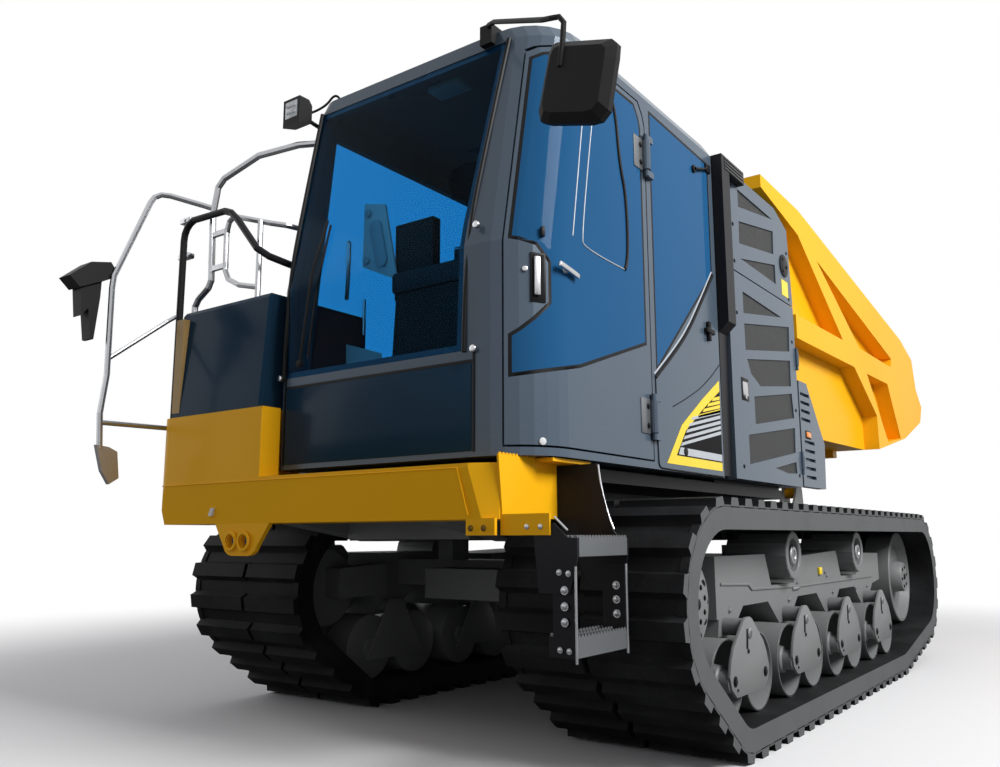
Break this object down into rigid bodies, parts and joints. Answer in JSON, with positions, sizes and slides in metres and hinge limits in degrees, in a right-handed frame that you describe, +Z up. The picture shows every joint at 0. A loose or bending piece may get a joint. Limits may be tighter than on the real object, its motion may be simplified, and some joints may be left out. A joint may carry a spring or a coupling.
{
  "type": "crawler carrier",
  "caption": "Tracked dump carrier with rubber belts, side cab, engine cover and rear-tipping bed raised by rams.",
  "frame": {"origin": "middle of the machine's length and width on the ground, at the bottom centre of its bounding box", "axes": "+Z up, -Y the way it drives, +X its left side"},
  "size_m": [2.845, 6.495, 3.035],
  "materials": {
    "yellow_paint": "gloss",
    "grey_paint": "gloss",
    "black_paint": "satin",
    "undercarriage_paint": "satin",
    "rubber": "matte",
    "tinted_glass": "gloss",
    "steel_tube": "satin",
    "black_plastic": "matte",
    "seat_cloth": "matte",
    "rod_chrome": "polished"
  },
  "bodies": {
    "machine": {"air_duct": "black_paint", "bogie_left_1": "undercarriage_paint", "bogie_left_2": "undercarriage_paint", "bogie_left_3": "undercarriage_paint", "bogie_left_4": "undercarriage_paint", "bogie_right_1": "undercarriage_paint", "bogie_right_2": "undercarriage_paint", "bogie_right_3": "undercarriage_paint", "bogie_right_4": "undercarriage_paint", "cab_shell": "grey_paint", "console": "black_plastic", "deck": "black_paint", "engine": "undercarriage_paint", "engine_housing": "grey_paint", "exhaust": "black_paint", "front_beam": "yellow_paint", "front_locker": "grey_paint", "guard_rail": "black_paint", "hand_rails": "steel_tube", "idler_left": "undercarriage_paint", "idler_right": "undercarriage_paint", "ladder": "black_paint", "louvre_cover": "grey_paint", "main_frame": "undercarriage_paint", "mirror_left": "black_plastic", "mirror_right": "black_plastic", "mirror_stay": "steel_tube", "quarter_glass": "tinted_glass", "rear_glass": "tinted_glass", "right_glass": "tinted_glass", "seat": "seat_cloth", "side_tank": "grey_paint", "sprocket_left": "undercarriage_paint", "sprocket_right": "undercarriage_paint", "step_apron": "yellow_paint", "track_frame_left": "undercarriage_paint", "track_frame_right": "undercarriage_paint", "track_left": "rubber", "track_right": "rubber", "upper_cover": "grey_paint", "windshield": "tinted_glass", "work_lamp": "black_plastic"},
    "bed": {"bed": "yellow_paint"},
    "cab_door": {"cab_door": "grey_paint", "door_glass": "tinted_glass"},
    "lower_cover": {"lower_cover": "grey_paint"},
    "ram_barrel_left": {"ram_barrel_left": "black_paint"},
    "ram_barrel_right": {"ram_barrel_right": "black_paint"},
    "ram_rod_left": {"ram_rod_left": "rod_chrome"},
    "ram_rod_right": {"ram_rod_right": "rod_chrome"}
  },
  "joints": [
    {"name": "bed_tip", "type": "hinge", "parent": "machine", "child": "bed", "pos_m": [0, 1.8925, 1.2], "axis": [-1, 0, 0], "range_deg": [0, 55]},
    {"name": "cab_door_swing", "type": "hinge", "parent": "machine", "child": "cab_door", "pos_m": [1.018, -1.7555, 1.185], "axis": [0, 0, 1], "range_deg": [0, 90]},
    {"name": "lower_cover_swing", "type": "hinge", "parent": "machine", "child": "lower_cover", "pos_m": [1.026, 0.2525, 1.15], "axis": [0, 0, 1], "range_deg": [0, 90]},
    {"name": "ram_foot_left", "type": "hinge", "parent": "machine", "child": "ram_barrel_left", "pos_m": [0.2, 0.2925, 0.8], "axis": [1, 0, 0], "range_deg": [0, 5.06]},
    {"name": "ram_stroke_left", "type": "slide", "parent": "ram_barrel_left", "child": "ram_rod_left", "axis": [0, 0.8, 0.6], "range_m": [0, 0.7537]},
    {"name": "ram_foot_right", "type": "hinge", "parent": "machine", "child": "ram_barrel_right", "pos_m": [-0.2, 0.2925, 0.8], "axis": [1, 0, 0], "range_deg": [0, 5.06]},
    {"name": "ram_stroke_right", "type": "slide", "parent": "ram_barrel_right", "child": "ram_rod_right", "axis": [0, 0.8, 0.6], "range_m": [0, 0.7537]}
  ],
  "couplings": [
    {"joint": "ram_foot_left", "follows": "bed_tip", "ratio": 0.09108},
    {"joint": "ram_stroke_left", "follows": "bed_tip", "m_per_rad": 0.78411},
    {"joint": "ram_foot_right", "follows": "bed_tip", "ratio": 0.09108},
    {"joint": "ram_stroke_right", "follows": "bed_tip", "m_per_rad": 0.78411}
  ]
}
